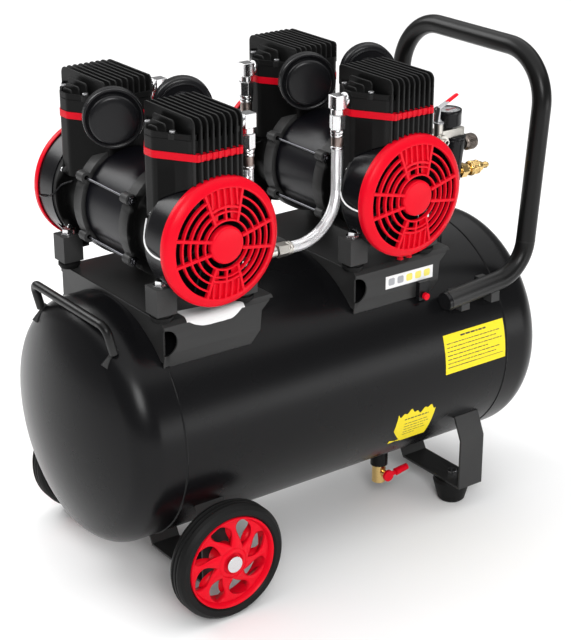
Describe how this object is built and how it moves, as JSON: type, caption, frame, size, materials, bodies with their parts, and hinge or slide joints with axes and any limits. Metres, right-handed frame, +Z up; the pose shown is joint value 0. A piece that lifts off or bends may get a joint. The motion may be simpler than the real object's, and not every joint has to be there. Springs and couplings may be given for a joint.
{
  "type": "air compressor",
  "caption": "Oil-free piston air compressor with twin motors on a horizontal tank, with wheels, feet, a push handle and a lifting handle.",
  "frame": {"origin": "on the floor under the middle of the tank", "axes": "+X along the tank towards the push handle, -Y towards the front with the gauge, +Z up"},
  "size_m": [0.7026, 0.3836, 0.633],
  "materials": {
    "tank_paint": "satin black powder coat",
    "bracket_paint": "satin black powder coat",
    "black_cast": "black cast aluminium",
    "black_gloss": "glossy black",
    "black_plastic": "matt black",
    "red_plastic": "glossy red",
    "red_plate": "red paint",
    "tyre_rubber": "matt tyre rubber",
    "foot_rubber": "matt rubber",
    "bright_steel": "bright plated steel",
    "plain_steel": "machined steel",
    "braid": "braided stainless wire",
    "light_alloy": "cast alloy",
    "brass": "turned brass",
    "copper_winding": "varnished copper winding",
    "needle_red": "red paint"
  },
  "bodies": {
    "frame": {"tank_shell": "tank_paint", "tank_heads": "tank_paint", "tank_sockets": "tank_paint", "wheel_brackets": "bracket_paint", "foot_brackets": "bracket_paint", "axle_bolts": "bright_steel", "rubber_feet": "foot_rubber", "foot_bolts": "bright_steel", "push_handle": "bracket_paint", "handle_caps": "black_plastic", "lift_handle": "bracket_paint", "handle_pads": "bracket_paint", "motor_plates": "bracket_paint", "damper_bushes": "foot_rubber", "damper_bolts": "bright_steel", "housings": "black_cast", "stators": "copper_winding", "motor_bearings": "plain_steel", "crankcases": "black_cast", "tie_bolts": "bright_steel", "cylinder_blocks": "black_cast", "valve_plates": "red_plate", "cylinder_heads": "black_cast", "fan_shrouds": "black_gloss", "fan_covers": "red_plastic", "air_filters": "black_plastic", "head_elbows": "bright_steel", "delivery_hoses": "braid", "collector_pipe": "light_alloy", "manifold": "light_alloy", "gauge": "black_plastic", "regulator_body": "black_plastic", "outlet_valve": "light_alloy", "coupler_body": "brass", "drain_valve": "brass", "reset_housing": "black_plastic", "pressure_switch": "black_plastic", "safety_valve": "brass"},
    "front_wheel": {"front_wheel_rim": "red_plastic", "front_wheel_tyre": "tyre_rubber"},
    "rear_wheel": {"rear_wheel_rim": "red_plastic", "rear_wheel_tyre": "tyre_rubber"},
    "left_shaft": {"left_rotor": "plain_steel", "left_eccentrics": "plain_steel", "left_fans": "black_plastic"},
    "right_shaft": {"right_rotor": "plain_steel", "right_eccentrics": "plain_steel", "right_fans": "black_plastic"},
    "piston_lf": {"piston_left_front": "light_alloy"},
    "piston_lr": {"piston_left_rear": "light_alloy"},
    "piston_rf": {"piston_right_front": "light_alloy"},
    "piston_rr": {"piston_right_rear": "light_alloy"},
    "needle": {"gauge_needle": "needle_red"},
    "knob": {"regulator_knob": "light_alloy"},
    "valve_lever": {"outlet_lever": "bright_steel"},
    "sleeve": {"coupler_sleeve": "brass"},
    "tap_lever": {"drain_lever": "red_plastic"},
    "button": {"reset_button": "red_plastic"},
    "power_knob": {"switch_knob": "red_plastic"},
    "pull_ring": {"safety_ring": "bright_steel"}
  },
  "joints": [
    {"name": "front_wheel_spin", "type": "hinge", "parent": "frame", "child": "front_wheel", "pos_m": [-0.212, -0.1738, 0.0766], "axis": [0, 1, 0], "continuous": true},
    {"name": "rear_wheel_spin", "type": "hinge", "parent": "frame", "child": "rear_wheel", "pos_m": [-0.212, 0.1738, 0.0766], "axis": [0, 1, 0], "continuous": true},
    {"name": "left_shaft_spin", "type": "hinge", "parent": "frame", "child": "left_shaft", "pos_m": [-0.1978, 0, 0.4774], "axis": [0, 1, 0], "continuous": true},
    {"name": "right_shaft_spin", "type": "hinge", "parent": "frame", "child": "right_shaft", "pos_m": [0.0845, 0, 0.4774], "axis": [0, 1, 0], "continuous": true},
    {"name": "piston_lf_stroke", "type": "slide", "parent": "frame", "child": "piston_lf", "axis": [0, 0, 1], "range_m": [-0.009, 0.009]},
    {"name": "piston_lr_stroke", "type": "slide", "parent": "frame", "child": "piston_lr", "axis": [0, 0, 1], "range_m": [-0.009, 0.009]},
    {"name": "piston_rf_stroke", "type": "slide", "parent": "frame", "child": "piston_rf", "axis": [0, 0, 1], "range_m": [-0.009, 0.009]},
    {"name": "piston_rr_stroke", "type": "slide", "parent": "frame", "child": "piston_rr", "axis": [0, 0, 1], "range_m": [-0.009, 0.009]},
    {"name": "needle_turn", "type": "hinge", "parent": "frame", "child": "needle", "pos_m": [0.22, -0.06, 0.54], "axis": [0, 0, 1], "range_deg": [-270, 0]},
    {"name": "knob_turn", "type": "hinge", "parent": "frame", "child": "knob", "pos_m": [0.25, -0.06, 0.494], "axis": [1, 0, 0], "range_deg": [-360, 360]},
    {"name": "valve_lever_turn", "type": "hinge", "parent": "frame", "child": "valve_lever", "pos_m": [0.189, -0.078, 0.535], "axis": [0, 0, 1], "range_deg": [-90, 0]},
    {"name": "sleeve_pull", "type": "slide", "parent": "frame", "child": "sleeve", "axis": [1, 0, 0], "range_m": [-0.005, 0], "stiffness_N_per_m": 400},
    {"name": "tap_lever_turn", "type": "hinge", "parent": "frame", "child": "tap_lever", "pos_m": [0.12, -0.078, 0.046], "axis": [0, 1, 0], "range_deg": [0, 90]},
    {"name": "button_press", "type": "slide", "parent": "frame", "child": "button", "axis": [0, 1, 0], "range_m": [0, 0.0012], "stiffness_N_per_m": 300},
    {"name": "power_knob_turn", "type": "hinge", "parent": "frame", "child": "power_knob", "pos_m": [0.209, 0, 0.5], "axis": [0, 0, 1], "range_deg": [-90, 0]},
    {"name": "ring_pull", "type": "slide", "parent": "frame", "child": "pull_ring", "axis": [1, 0, 0], "range_m": [0, 0.003], "stiffness_N_per_m": 500}
  ]
}
